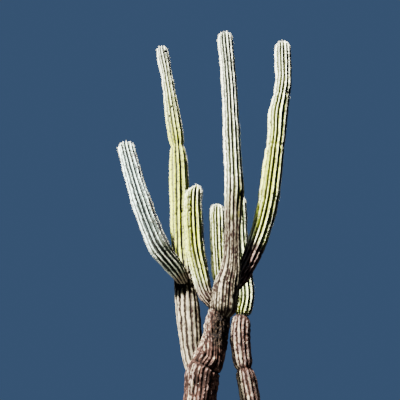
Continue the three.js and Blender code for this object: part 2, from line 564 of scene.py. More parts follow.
class Wire:
    """A number in a material's node tree that takes Python arithmetic."""

    def __init__(self, tree: "NodeTree", socket: bpy.types.NodeSocket) -> None:
        """Holds a socket.

        Args:
            tree: The node tree it belongs to.
            socket: The output socket that gives the number.
        """
        self.tree = tree
        self.socket = socket

    def _math(self, operation: str, first: "Wire | float", second: "Wire | float") -> "Wire":
        """Adds a Math node for an operation on two values."""
        node = self.tree.node("ShaderNodeMath", {"operation": operation}, {0: first, 1: second})
        return Wire(self.tree, node.outputs[0])

    def __add__(self, other: "Wire | float") -> "Wire":
        """The sum."""
        return self._math("ADD", self, other)

    __radd__ = __add__

    def __sub__(self, other: "Wire | float") -> "Wire":
        """The difference."""
        return self._math("SUBTRACT", self, other)

    def __rsub__(self, other: float) -> "Wire":
        """The difference from a number."""
        return self._math("SUBTRACT", other, self)

    def __mul__(self, other: "Wire | float") -> "Wire":
        """The product."""
        return self._math("MULTIPLY", self, other)

    __rmul__ = __mul__

    def swing(self, amount: float) -> "Wire":
        """How far it is from a half, times an amount."""
        return (self - 0.5) * amount

    def mean(self, other: "Wire") -> "Wire":
        """Halfway between two numbers."""
        return self * 0.5 + other * 0.5

    def rise(self, low: float, high: float) -> "Wire":
        """Rises smoothly from 0 to 1.

        Args:
            low: Where it leaves 0.
            high: Where it reaches 1.

        Returns:
            The new number.
        """
        settings = {"interpolation_type": "SMOOTHSTEP", "clamp": True}
        node = self.tree.node(
            "ShaderNodeMapRange", settings, {"Value": self, "From Min": low, "From Max": high}
        )
        return Wire(self.tree, node.outputs["Result"])


class NodeTree:
    """A material under construction."""

    def __init__(self, name: str) -> None:
        """Starts a material with one surface shader.

        Args:
            name: The material's name.
        """
        self.material = bpy.data.materials.new(name)
        self.material.use_nodes = True
        self.nodes = self.material.node_tree.nodes
        self.shader = self.nodes["Principled BSDF"]

    def node(self, kind: str, settings: dict[str, Any], values: dict[Any, Any]) -> bpy.types.Node:
        """Adds a node.

        Args:
            kind: The node's type.
            settings: Its own settings, which are set first.
            values: A value or a link for each of its input sockets.

        Returns:
            The new node.
        """
        made = self.nodes.new(kind)
        for key, value in settings.items():
            setattr(made, key, value)
        for key, value in values.items():
            self.feed(made.inputs[key], value)
        return made

    def feed(self, socket: bpy.types.NodeSocket, value: Any) -> None:
        """Gives an input socket its value.

        Args:
            socket: The input socket.
            value: Another node's number or output, which is linked, or a plain value.
        """
        if isinstance(value, Wire):
            value = value.socket
        if isinstance(value, bpy.types.NodeSocket):
            self.material.node_tree.links.new(value, socket)
        elif isinstance(value, tuple) and socket.type == "RGBA":
            socket.default_value = (*value, 1.0)
        else:
            socket.default_value = value

    def finish(self, part: str, value: Any) -> None:
        """Gives one of the surface shader's sockets its value."""
        self.feed(self.shader.inputs[part], value)

    def trait(self, trait: Trait) -> Wire:
        """Reads one of a skin's traits as a number."""
        node = self.node("ShaderNodeAttribute", {"attribute_name": trait.value}, {})
        return Wire(self, node.outputs["Fac"])

    def flow(self, scale: Scale) -> bpy.types.NodeSocket:
        """Reads the place on the stem, stretched.

        Args:
            scale: How often a pattern repeats across, across and along the stem.

        Returns:
            The socket that gives the stretched place.
        """
        place = self.node("ShaderNodeAttribute", {"attribute_name": Trait.FLOW.value}, {})
        made = self.node(
            "ShaderNodeVectorMath",
            {"operation": "MULTIPLY"},
            {0: place.outputs["Vector"], 1: scale},
        )
        return made.outputs[0]

    def noise(self, scale: Scale, detail: float) -> Wire:
        """Noise that follows the stem.

        Args:
            scale: How fine it is across, across and along the stem.
            detail: How many finer layers it has.

        Returns:
            A number around a half.
        """
        node = self.node(
            "ShaderNodeTexNoise",
            {"noise_dimensions": "3D"},
            {"Vector": self.flow(scale), "Scale": 1.0, "Detail": detail, "Roughness": 0.6},
        )
        return Wire(self, node.outputs["Fac"])

    def mix(self, low: Any, high: Any, share: Wire) -> bpy.types.NodeSocket:
        """Mixes two colours by a number from 0 to 1."""
        values = {"Factor": share, 6: low, 7: high}
        return self.node("ShaderNodeMix", {"data_type": "RGBA"}, values).outputs[2]

    def bump(self, height: Wire, strength: float, distance: float) -> bpy.types.NodeSocket:
        """A normal that follows a fine height."""
        values = {"Height": height, "Strength": strength, "Distance": distance}
        return self.node("ShaderNodeBump", {}, values).outputs["Normal"]


@dataclass(frozen=True)
class SkinFinish:
    """The living skin and the old bark of a stem, in one material.

    The furrows are painted dark as shade, the faces of the ribs take the stem's own
    colour and the crests are pale. The flanks turned away from the key light take
    painted shade, and on the flanks turned towards it the crests widen and brighten
    as a painted highlight. Where the stem is woody all three turn to bark, with
    painted shade in its furrows and cracks. A pair of numbers gives where one finish
    begins to take over from another and where it has done so, and a single one how
    much a noise or a trait counts.
    """

    name: str = "cactus_skin"
    yellow: Colour = (0.280, 0.305, 0.014)
    yellow_deep: Colour = (0.170, 0.180, 0.020)
    green: Colour = (0.070, 0.088, 0.034)
    grey: Colour = (0.062, 0.069, 0.043)
    grey_deep: Colour = (0.029, 0.033, 0.022)
    frost: Colour = (0.044, 0.056, 0.050)
    crest_fresh: Colour = (0.53, 0.59, 0.020)
    crest_dry: Colour = (0.75, 0.79, 0.56)
    crest_frost: Colour = (0.62, 0.82, 0.70)
    fleck: Colour = (0.009, 0.008, 0.005)
    # Painted shade: the near-black floor of the furrows.
    furrow: Colour = (0.0028, 0.0027, 0.0028)
    # Painted shade on the flanks turned away from the key light.
    painted_shade: Colour = (0.009, 0.009, 0.013)
    # Painted shade on the lower flanks, reaching higher away from the key light.
    flank: Colour = (0.070, 0.074, 0.056)
    bark: Colour = (0.046, 0.0225, 0.0155)
    bark_smooth: Colour = (0.032, 0.025, 0.015)
    bark_deep: Colour = (0.010, 0.005, 0.0035)
    bark_crest: Colour = (0.100, 0.067, 0.055)
    bark_worn: Colour = (0.083, 0.073, 0.046)
    bark_bleached: Colour = (0.250, 0.212, 0.134)
    # Painted shade in the bark's furrows and cracks.
    bark_crevice_shade: Colour = (0.0025, 0.0017, 0.0012)
    # Dark scars, and the painted shadows that some marks stand for.
    scar: Colour = (0.0022, 0.0015, 0.0012)
    scar_and_shadow_speck: Colour = (0.026, 0.017, 0.010)
    blotches: Scale = (5.0, 5.0, 2.4)
    streaks: Scale = (34.0, 34.0, 3.0)
    grains: Scale = (120.0, 120.0, 70.0)
    tears: Scale = (40.0, 40.0, 24.0)
    scar_specks: Scale = (44.0, 44.0, 34.0)
    flecks: Scale = (24.0, 24.0, 18.0)
    crest_dots: Scale = (30.0, 30.0, 18.0)
    bark_patches: Scale = (12.0, 12.0, 6.0)
    bark_specks: Scale = (30.0, 30.0, 17.0)
    gloss: float = 0.04
    dullness: float = 0.62
    dull_grain: float = 0.2
    dull_bark: float = 0.14
    bump_strength: float = 0.55
    bump_depth: float = 0.006
    streak_relief: float = 0.8
    # Bark over skin, and scars and patches of painted shadow over both.
    bark_edge: Span = (0.30, 0.62)
    bark_stray: float = 0.5
    scar_and_shadow_edge: Span = (0.3, 0.6)
    scar_and_shadow_stray: float = 3.0
    scar_and_shadow_speck_edge: Span = (0.50, 0.62)
    # The faces of the ribs: mottled and flecked, with painted shade on the flanks
    # turned away from the key light.
    mottle_edge: Span = (0.38, 0.6)
    fleck_edge: Span = (0.53, 0.60)
    fleck_low: float = 0.08
    fleck_share: float = 0.85
    flank_bleach: Span = (0.3, 0.8)
    flank_shade_edge: Span = (0.45, 0.85)
    flank_painted_light: float = 0.35
    painted_shade_edge: Span = (0.33, 0.85)
    # The furrows' painted shade, up to the foot of the faces, narrower towards the
    # key light.
    furrow_shade_edge: Span = (0.39, 0.80)
    furrow_shade_streak: float = 0.3
    furrow_painted_light: float = 0.60
    # The pale crests: where they begin, and what breaks their edge. Towards the key
    # light they widen and brighten, as a painted highlight.
    crest_edge: Span = (1.06, 1.20)
    crest_streak: float = 0.5
    crest_tint: float = 0.25
    crest_dot: float = 0.6
    crest_painted_light: float = 0.42
    crest_tip: float = 0.1
    dry_bleach: Span = (0.1, 0.8)
    frost_bleach: Span = (0.9, 1.7)
    green_bleach: Span = (0.1, 0.9)
    green_share: float = 0.6
    crest_fleck: float = 0.7
    crest_cover: float = 0.82
    crest_cover_painted_light: float = 0.13
    # The bark: gnarled or smooth, deep or worn, with bleached ribs, and painted shade
    # in its furrows and cracks.
    gnarl_edge: Span = (0.4, 0.8)
    deep_edge: Span = (0.42, 0.58)
    age_tint: float = 0.9
    age_patch: float = 3.0
    top_edge: Span = (0.58, 0.9)
    top_speck: float = 1.8
    top_blotch: float = 0.8
    top_age: float = 0.2
    top_smooth: float = 0.6
    top_gnarl: float = 0.4
    bark_crevice_shade_edge: Span = (0.08, 0.42)
    bark_crevice_shade_grain: float = 0.4

    def make(self) -> bpy.types.Material:
        """Builds the material.

        Returns:
            The material, for every stem and arm.
        """
        tree = NodeTree(self.name)
        height = tree.trait(Trait.HEIGHT)
        wood = tree.trait(Trait.WOOD)
        bleach = tree.trait(Trait.BLEACH)
        blotch = tree.noise(self.blotches, detail=4.0)
        streak = tree.noise(self.streaks, detail=3.0)
        grain = tree.noise(self.grains, detail=4.0)
        skin = self._skin(tree, height, bleach, blotch, streak)
        bark = self._bark(tree, height, bleach, blotch, grain)
        share = (wood + blotch.swing(self.bark_stray)).rise(*self.bark_edge)
        # Scars and patches of painted shadow darken skin and bark alike.
        tear = tree.noise(self.tears, detail=3.0).swing(self.scar_and_shadow_stray)
        torn = (tree.trait(Trait.SCAR) * (1 + tear)).rise(*self.scar_and_shadow_edge)
        speck = tree.noise(self.scar_specks, detail=2.0).rise(*self.scar_and_shadow_speck_edge)
        dead_and_shadowed = tree.mix(self.scar, self.scar_and_shadow_speck, speck)
        colour = tree.mix(tree.mix(skin, bark, share), dead_and_shadowed, torn)
        relief = grain + streak * (1 - share) * self.streak_relief
        dullness = self.dullness + grain * self.dull_grain + share * self.dull_bark
        tree.finish("Base Color", colour)
        tree.finish("Specular IOR Level", self.gloss)
        tree.finish("Roughness", dullness)
        tree.finish("Normal", tree.bump(relief, self.bump_strength, self.bump_depth))
        return tree.material

    def _skin(self, tree: NodeTree, height: Wire, bleach: Wire, blotch: Wire, streak: Wire) -> Any:
        """Works out the colour of living skin, with painted shade in its furrows and on
        the flanks turned away from the key light, and a painted highlight on its crests
        turned towards it.

        Args:
            tree: The material's tree.
            height: From 0 in a furrow to 1 on a crest.
            bleach: Below 0 where it is green, 0 yellow-green, 1 grey and 2 frosted.
            blotch: Broad noise.
            streak: Noise drawn out along the stem.

        Returns:
            The socket that gives the colour.
        """
        greenness = 0.0 - bleach
        mottle = streak.mean(blotch).rise(*self.mottle_edge)
        yellow = tree.mix(self.yellow_deep, self.yellow, mottle)
        grey = tree.mix(self.grey_deep, self.grey, mottle)
        face = tree.mix(yellow, grey, bleach.rise(0.0, 1.0))
        face = tree.mix(face, self.frost, bleach.rise(1.0, 2.0))
        face = tree.mix(face, self.green, greenness.rise(0.0, 1.0))
        low = (0.5 - height) * self.fleck_low
        spots = (tree.noise(self.flecks, detail=2.0) + low).rise(*self.fleck_edge)
        # Painted light: 1 on flanks turned towards the key light, 0 on those turned away.
        painted_light = tree.trait(Trait.SUNNED)
        # Painted shade: the darker flank colour reaches higher away from the key light.
        slope = (height + painted_light * self.flank_painted_light).rise(*self.flank_shade_edge)
        flank = tree.mix(self.flank, face, bleach.rise(*self.flank_bleach))
        face = tree.mix(flank, face, slope)
        # Painted shade on the flanks turned away from the key light.
        face = tree.mix(self.painted_shade, face, painted_light.rise(*self.painted_shade_edge))
        face = tree.mix(face, self.fleck, spots * self.fleck_share)
        # Painted shade: near-black furrows, narrower towards the key light.
        sides = height + streak.swing(self.furrow_shade_streak) + painted_light * self.furrow_painted_light
        colour = tree.mix(self.furrow, face, sides.rise(*self.furrow_shade_edge))
        uneven = streak.swing(self.crest_streak)
        uneven = uneven + tree.trait(Trait.TINT).swing(self.crest_tint)
        uneven = uneven + tree.noise(self.crest_dots, detail=1.0).swing(self.crest_dot)
        # Painted highlight: the crests widen towards the key light.
        uneven = uneven + painted_light * self.crest_painted_light
        edge = height + uneven + tree.trait(Trait.TIP) * self.crest_tip
        pale = tree.mix(self.crest_fresh, self.crest_dry, bleach.rise(*self.dry_bleach))
        pale = tree.mix(pale, self.crest_frost, bleach.rise(*self.frost_bleach))
        green = greenness.rise(*self.green_bleach) * self.green_share
        pale = tree.mix(pale, self.crest_dry, green)
        pale = tree.mix(pale, self.fleck, spots * self.crest_fleck)
        # Painted highlight: the crests brighten towards the key light.
        cover = self.crest_cover + painted_light * self.crest_cover_painted_light
        return tree.mix(colour, pale, edge.rise(*self.crest_edge) * cover)

    def _bark(self, tree: NodeTree, height: Wire, bleach: Wire, blotch: Wire, grain: Wire) -> Any:
        """Works out the colour of corky bark, with painted shade in its furrows and cracks.

        Args:
            tree: The material's tree.
            height: From 0 in a furrow to 1 on a crest.
            bleach: From 0 on fresh bark to 1 where it is bleached; it is higher on the
                side towards the key light, partly as sun-bleaching and partly as painted light.
            blotch: Broad noise.
            grain: The finest noise.

        Returns:
            The socket that gives the colour.
        """
        patch = tree.noise(self.bark_patches, detail=2.0)
        speck = tree.noise(self.bark_specks, detail=2.0)
        gnarled = tree.trait(Trait.GNARL).rise(*self.gnarl_edge)
        hue = tree.mix(self.bark_smooth, self.bark, gnarled)
        face = tree.mix(self.bark_deep, hue, patch.mean(speck).rise(*self.deep_edge))
        aged = bleach + tree.trait(Trait.TINT).swing(self.age_tint) + patch.swing(self.age_patch)
        raw = tree.mix(self.bark_worn, self.bark_crest, gnarled)
        pale = tree.mix(raw, self.bark_bleached, aged.rise(0.0, 1.0))
        broken = speck.swing(self.top_speck) + blotch.swing(self.top_blotch)
        broken = broken + aged.swing(self.top_age)
        top = height + broken * (self.top_smooth + gnarled * self.top_gnarl)
        colour = tree.mix(face, pale, top.rise(*self.top_edge))
        # Painted shade in the bark's furrows and cracks.
        whole = (height + grain.swing(self.bark_crevice_shade_grain)).rise(*self.bark_crevice_shade_edge)
        return tree.mix(self.bark_crevice_shade, colour, whole)


@dataclass(frozen=True)
class DryFinish:
    """Dry spines and wool, one plain colour with a little variety in its sheen."""

    name: str
    colour: Colour
    roughness: float = 0.7
    fuzz_scale: float = 40.0
    fuzz_depth: float = 0.2

    def make(self) -> bpy.types.Material:
        """Builds the material.

        Returns:
            The material.
        """
        tree = NodeTree(self.name)
        tree.finish("Base Color", self.colour)
        place = tree.node("ShaderNodeTexCoord", {}, {}).outputs["Object"]
        node = tree.node("ShaderNodeTexNoise", {}, {"Vector": place, "Scale": self.fuzz_scale})
        fuzz = Wire(tree, node.outputs["Fac"])
        tree.finish("Roughness", self.roughness + (fuzz - 0.5) * self.fuzz_depth)
        return tree.material


@dataclass(frozen=True)
class Finishes:
    """The materials that the whole plant shares."""

    skin: bpy.types.Material
    spines: Tints
    wool: Tints


@dataclass
class RibbedStem:
    """A ribbed stem or arm with its skin, areoles and spines.

    The stations run from inside what carries the stem to its tip. The levels
    give at a few heights how woody and how bleached it is, how far its ribs
    turn, and how deep a groove splits each rib. A foot is how far up from its
    start the stem widens to its full radius.
    """

    name: str
    nodes: tuple[str, ...]
    stations: Stations
    slot: Slot
    seed: int
    wood: Levels
    bleach: Levels
    joints: tuple[Joint, ...] = ()
    marks: tuple[Mark, ...] = ()
    twist: Levels = ((0.0, 0.0),)
    split: Levels = ((0.0, 0.0),)
    split_least: float = 0.0
    ribs: int = 13
    foot: float = 0.0
    roughness: float = 1.0
    green_furrow: float = 0.4
    wood_furrow: float = 0.2
    areole_step: float = 0.034
    tip_zone: Span = (0.1, 0.55)
    rooted: bool = False
    wool: WoolPads = WoolPads()
    spines: Spines = Spines()

    def __post_init__(self) -> None:
        """Lays out the centre line and its joints."""
        self.course = Course(self.stations)
        self.dome = DOME_SHARE * self.course.tip_radius
        self.dome_foot = self.course.length - self.dome
        self.random = np.random.default_rng(self.seed)
        self.rib_angle = 2 * math.pi / self.ribs

    def nip(self, s: Array) -> Array:
        """Works out what the growth joints leave of the radius.

        Args:
            s: Distances along the stem.

        Returns:
            A share of the radius for each.
        """
        left = np.ones(len(s))
        for joint in self.joints:
            away = np.abs(s - self.course.reach(joint.z)) / joint.width
            crease = joint.crease * np.exp(-((away * CREASE_SHARPNESS) ** 2))
            left *= 1 - joint.depth * (np.exp(-(away**JOINT_CURVE)) + crease)
        return left

    def joint_dip(self, s: Array) -> Array:
        """Works out how far the crests sink to the furrows at the growth joints.

        Args:
            s: Distances along the stem.

        Returns:
            From 0 to 1 for each.
        """
        dip = np.zeros(len(s))
        for joint in self.joints:
            away = np.abs(s - self.course.reach(joint.z)) / (DIP_WIDTH * joint.width)
            dip = np.maximum(dip, joint.dip * np.exp(-(away**2)))
        return dip

    def rounding(self, s: Array) -> Array:
        """Works out what the rounded foot and tip leave of the radius.

        Args:
            s: Distances along the stem.

        Returns:
            A share of the radius for each.
        """
        up = np.clip((s - self.dome_foot) / self.dome, 0, 1)
        tip = np.sqrt(np.maximum(0, 1 - up * up))
        if not self.foot:
            return tip
        share = np.clip(s / self.foot, 0, 1)
        return tip * (FOOT_NARROW + (1 - FOOT_NARROW) * np.sin(math.pi / 2 * share))

    def damage(self, s: Array, turn: Array, radius: Array, rough: Array) -> tuple[Array, Array]:
        """Works out the dents, holes and torn places, and the patches of painted shadow.

        Args:
            s: Distances along the stem.
            turn: Angles round it, from the side that faces the viewer.
            radius: The stem's radius at each place.
            rough: Fine noise that frays the edges.

        Returns:
            How deep the skin is dented, and how dark it is, from 0 to 1.
        """
        dent, scar = np.zeros(len(s)), np.zeros(len(s))
        for mark in self.marks:
            lift = (s - self.course.reach(mark.z)) / mark.tall
            side = (turn - math.radians(mark.turn) + math.pi) % (2 * math.pi) - math.pi
            ragged = 1 + MARK_FRAY * rough * mark.ragged
            away = lift**2 + (side * radius / mark.across) ** 2
            pit = np.exp(-(away**MARK_CURVE) * ragged)
            dent += mark.depth * pit
            scar = np.maximum(scar, mark.dark * pit)
        return dent, scar

    def crest_height(self, s: Array, rib: Array, wood: Array, z: Array, own: Array) -> Array:
        """Works out the ribs' profile, with the groove that splits an old rib.

        Args:
            s: Distances along the stem.
            rib: Places round it, in ribs.
            wood: How woody each place is.
            z: The heights.
            own: The places in each rib's own patterns.

        Returns:
            From 0 in a furrow to 1 on a crest.
        """
        slope = 1 - np.abs(2 * (rib % 1.0) - 1)
        crest = blend(slope, np.sin(math.pi / 2 * slope), blend(*CREST_ROUND, wood))
        groove = np.exp(-((((rib % 1.0) - 0.5) / SPLIT_WIDTH) ** 2)) * read_levels(self.split, z)
        parted = smooth_step(PARTING.at(own, self.seed), *SPLIT_PARTING)
        groove *= blend(self.split_least, 1.0, parted)
        return crest * (1 - self.joint_dip(s)) * (1 - groove)

    def bark_gaps(self, own: Array) -> Array:
        """Works out where cracks run across the bark of the ribs.

        Args:
            own: The places in each rib's own patterns.

        Returns:
            From 0 on whole bark to 1 in a crack.
        """
        plates = np.abs(PLATES.at(own, self.seed))
        cracked = smooth_step(CRACKS.at(own, self.seed), *CRACKED_RIBS)
        return (1 - smooth_step(plates, *CRACK_WIDTH)) * cracked

    def surface(self, s: Array, rib: Array) -> Surface:
        """Works out the skin at some places.

        Args:
            s: Distances along the stem.
            rib: Places round it, counted in ribs: whole numbers are furrows.

        Returns:
            The points, with the outward and lengthwise directions and the traits.
        """
        centre, radius, front, across, along = self.course.read(s)
        z = centre[:, 2]
        even = rib * self.rib_angle
        ring = [FLOW_RADIUS * np.cos(even), FLOW_RADIUS * np.sin(even)]
        flow = np.stack([*ring, s + FLOW_APART * self.seed], axis=1)
        lane = np.floor(rib) % self.ribs * RIBS_APART
        stem = np.full(len(s), STEMS_APART * self.seed)
        own = np.stack([lane, s * METRE_APART, stem], axis=1)
        wood = read_levels(self.wood, z)
        gnarl = wood * self.roughness
        stray = WANDER.at(flow, self.seed) * blend(*STRAY, gnarl)
        stray += FRAY.at(flow, self.seed) * STRAY_FINE * gnarl
        turn = even + (stray + read_levels(self.twist, z)) * self.rib_angle
        outward = front * np.cos(turn)[:, None] + across * np.sin(turn)[:, None]
        grit = GRIT.at(flow, self.seed)
        dent, scar = self.damage(s, turn, radius, grit)
        crest = self.crest_height(s, rib, wood, z, own) * (1 - SCAR_FLAT * scar)
        gaps = self.bark_gaps(own) * crest
        fine = (KNOBS.at(flow, self.seed), grit, RINGS.at(flow, self.seed), gaps)
        relief = gnarl * BARK_RELIEF.lift(*fine) + (1 - wood) * SKIN_RELIEF.lift(*fine)
        shape = self.rounding(s)
        furrow = blend(self.green_furrow, self.wood_furrow, wood)
        swell = SWELL_SHARE * SWELL.at(own, self.seed) * crest
        reach = radius * self.nip(s) * shape * (1 - furrow * (1 - crest) + swell)
        reach += relief * shape + scar * shape * SCAR_RELIEF.lift(*fine) - dent
        # The bark is paler towards the key light, partly as sun-bleaching and partly as painted
        # light.
        sun_bleach_and_painted_light = SUN_BLEACH_AND_PAINTED_LIGHT * wood * np.cos(turn - KEY_LIGHT_SIDE)
        # Painted light: how far each flank turns towards the key light, for painted shade and
        # highlights.
        flank = FLANK_LEAN * np.sin(math.pi * ((rib % 1.0) - 0.5))
        traits = {
            Trait.HEIGHT: np.clip(crest + gnarl * BARK_WEAR.lift(*fine), 0, 1),
            Trait.WOOD: wood,
            Trait.GNARL: gnarl,
            Trait.BLEACH: read_levels(self.bleach, z) + sun_bleach_and_painted_light,
            Trait.SCAR: scar,
            Trait.TIP: 1 - smooth_step(self.course.length - s, *self.tip_zone),
            Trait.TINT: 0.5 + 0.5 * HUES.at(own, self.seed),
            Trait.SUNNED: 0.5 + 0.5 * np.cos(turn + flank - KEY_LIGHT_SIDE),
            Trait.FLOW: flow,
        }
        return Surface(centre + outward * reach[:, None], outward, along, traits)

    def rings(self) -> Array:
        """Spaces the skin's rings, closer together at the growth joints.

        Returns:
            Their distances along the stem.
        """
        fine = np.linspace(0, self.dome_foot, RING_SAMPLES)
        density = np.ones(len(fine))
        for joint in self.joints:
            away = (fine - self.course.reach(joint.z)) / joint.width
            density += RING_CROWDING * np.exp(-(away**2))
        walked = np.concatenate([[0], np.cumsum((density[1:] + density[:-1]) / 2 * np.diff(fine))])
        body = np.linspace(0, walked[-1], math.ceil(walked[-1] / RING_STEP))
        quarter = np.linspace(0, math.pi / 2, DOME_RINGS + 1)[1:]
        dome = self.dome_foot + self.dome * np.sin(quarter)
        return np.concatenate([np.interp(body, walked, fine), dome])

    def build_skin(self, material: bpy.types.Material) -> bpy.types.Object:
        """Builds the skin as one closed mesh.

        Args:
            material: The skin's material.

        Returns:
            The piece.
        """
        rings = self.rings()
        tube = blank_tube(len(rings), self.ribs * COLUMNS_PER_RIB)
        mesh = bpy.data.meshes.new(self.name)
        tube.to_mesh(mesh)
        tube.free()
        flat = np.zeros(len(mesh.vertices) * 3)
        mesh.vertices.foreach_get("co", flat)
        blank = flat.reshape(-1, 3)
        s = rings[np.rint(blank[:, 2]).astype(int)]
        found = self.surface(s, np.arctan2(blank[:, 1], blank[:, 0]) / self.rib_angle)
        mesh.vertices.foreach_set("co", found.points.ravel())
        for trait, values in found.traits.items():
            vector = values.ndim == 2
            kind, key = ("FLOAT_VECTOR", "vector") if vector else ("FLOAT", "value")
            mesh.attributes.new(trait.value, kind, "POINT").data.foreach_set(key, values.ravel())
        self.close(mesh)
        mesh.materials.append(material)
        return link(self.name, mesh)

    def close(self, mesh: bpy.types.Mesh) -> None:
        """Cuts a rooted stem flat at the ground and turns all faces outwards.

        Args:
            mesh: The skin's mesh.
        """
        skin = bmesh.new()
        skin.from_mesh(mesh)
        if self.rooted:
            everything = [*skin.verts, *skin.edges, *skin.faces]
            bmesh.ops.bisect_plane(
                skin, geom=everything, plane_co=(0, 0, 0), plane_no=(0, 0, 1), clear_inner=True
            )
            rim = [e for e in skin.edges if e.is_boundary]
            bmesh.ops.edgeloop_fill(skin, edges=rim)
        bmesh.ops.recalc_face_normals(skin, faces=skin.faces)
        for face in skin.faces:
            face.smooth = len(face.verts) < CAP_SIDES
        skin.to_mesh(mesh)
        skin.free()

    def crests(self) -> tuple[Array, Array]:
        """Spaces places down the crests of the ribs.

        Returns:
            Their distances along the stem and their places round it, in ribs.
        """
        low = self.foot or CREST_START
        rows = np.arange(low, self.course.length - CREST_END, self.areole_step)
        s = np.tile(rows, self.ribs)
        s = s + self.random.uniform(-AREOLE_STRAY, AREOLE_STRAY, len(s)) * self.areole_step
        return np.clip(s, 0, self.course.length), np.repeat(np.arange(self.ribs) + 0.5, len(rows))

    def areoles(self) -> Areoles:
        """Finds the places that carry wool and spines, hardly any of them on old wood.

        Returns:
            The places.
        """
        s, rib = self.crests()
        centre, *_ = self.course.read(s)
        wood = read_levels(self.wood, centre[:, 2])
        kept = self.random.uniform(0, 1, len(s)) > smooth_step(wood, *WOOD_BARE) * BARE_SHARE
        kept &= (centre[:, 2] > BARE_FOOT) | (not self.rooted)
        s, rib = s[kept], rib[kept]
        here = self.surface(s, rib)
        above = self.surface(np.minimum(s + AREOLE_NUDGE, self.course.length), rib).points
        lift = above - self.surface(s - AREOLE_NUDGE, rib).points
        lift /= np.maximum(np.linalg.norm(lift, axis=1, keepdims=True), LEAST_LENGTH)
        out = here.outward + here.along * UPWARD_TOUCH
        out = unit(out - lift * (out * lift).sum(axis=1, keepdims=True))
        axes = np.stack([np.cross(lift, out), lift, out], axis=1)
        return Areoles(here.points, self.course.length - s, axes)

    def build(self, finishes: Finishes) -> list[bpy.types.Object]:
        """Builds and dresses the stem's pieces.

        Args:
            finishes: The plant's materials.

        Returns:
            The skin, the areoles and the spines.
        """
        skin = self.build_skin(finishes.skin)
        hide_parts(*self.nodes)
        areoles = self.areoles()
        small = [
            self.wool.build(f"{self.name}_areoles", areoles, self.random, finishes.wool),
            self.spines.build(f"{self.name}_spines", areoles, self.random, finishes.spines),
        ]
        for piece in [skin, *small]:
            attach(piece, BODY)
        return [skin, *small]


@dataclass
class Trunk(RibbedStem):
    """The leaning woody trunk, from the flat cut at the ground to the centre arm."""

    name: str = "trunk_bark"
    nodes: tuple[str, ...] = ("trunk",)
    slot: Slot = Slot.WOOD
    seed: int = 1
    rooted: bool = True
    stations: Stations = (
        (0.0, 0.0, -0.08, 0.48),
        (0.01, 0.0, 0.25, 0.388),
        (0.03, 0.0, 0.7, 0.35),
        (0.118, 0.0, 1.73, 0.298),
        (0.165, -0.01, 2.12, 0.312),
        (0.298, -0.02, 2.42, 0.282),
        (0.4, -0.03, 2.72, 0.247),
        (0.462, -0.045, 3.03, 0.24),
        (0.498, -0.06, 3.24, 0.205),
        (0.52, -0.075, 3.43, 0.14),
    )
    wood: Levels = ((0.0, 1.0), (3.4, 1.0))
    bleach: Levels = ((0.0, -0.05), (2.2, -0.05), (2.35, 0.05), (3.4, 0.15))
    joints: tuple[Joint, ...] = (Joint(2.25, 0.06, 0.035, 0.5),)
    split: Levels = ((2.1, 0.7), (3.4, 0.7))
    split_least: float = 0.7
    twist: Levels = (
        (2.2, 0.14), (2.42, 0.27), (2.83, -0.87), (3.1, -1.39), (3.4, -1.8),
    )
    wood_furrow: float = 0.16
    marks: tuple[Mark, ...] = (
        # Dark knobbly bark under the centre arm's foot, partly painted shadow of the foot's
        # overhang.
        Mark(2.93, 32, 0.28, 0.42, 0.014, 1.0, 1.0),
        Mark(3.1, 8, 0.03, 0.05, 0.02, 0.9, 0.8),
    )


@dataclass
class LeftStem(RibbedStem):
    """The left fork: a smooth corky stem that carries the tall arm."""

    name: str = "left_stem_bark"
    nodes: tuple[str, ...] = ("left_stem",)
    slot: Slot = Slot.WOOD
    seed: int = 2
    roughness: float = 0.4
    stations: Stations = (
        (0.15, 0.04, 1.95, 0.165),
        (0.05, 0.13, 2.25, 0.198),
        (-0.025, 0.2, 2.55, 0.2),
        (-0.075, 0.27, 2.93, 0.222),
        (-0.135, 0.34, 3.42, 0.234),
        (-0.225, 0.395, 3.98, 0.208),
        (-0.245, 0.405, 4.12, 0.190),
    )
    wood: Levels = ((3.4, 1.0), (4.0, 0.75))
    bleach: Levels = ((1.9, -0.1), (2.6, 0.1), (3.2, 0.45), (4.0, 0.4))
    twist: Levels = ((2.6, -0.7), (2.9, -0.55), (3.2, -0.45), (3.5, -0.25), (4.0, 0.0))
    wood_furrow: float = 0.12
    # A dark scar under the left arm's elbow, partly painted shadow of the elbow.
    marks: tuple[Mark, ...] = (Mark(3.84, -28, 0.2, 0.19, 0.004, 0.95, 1.0),)


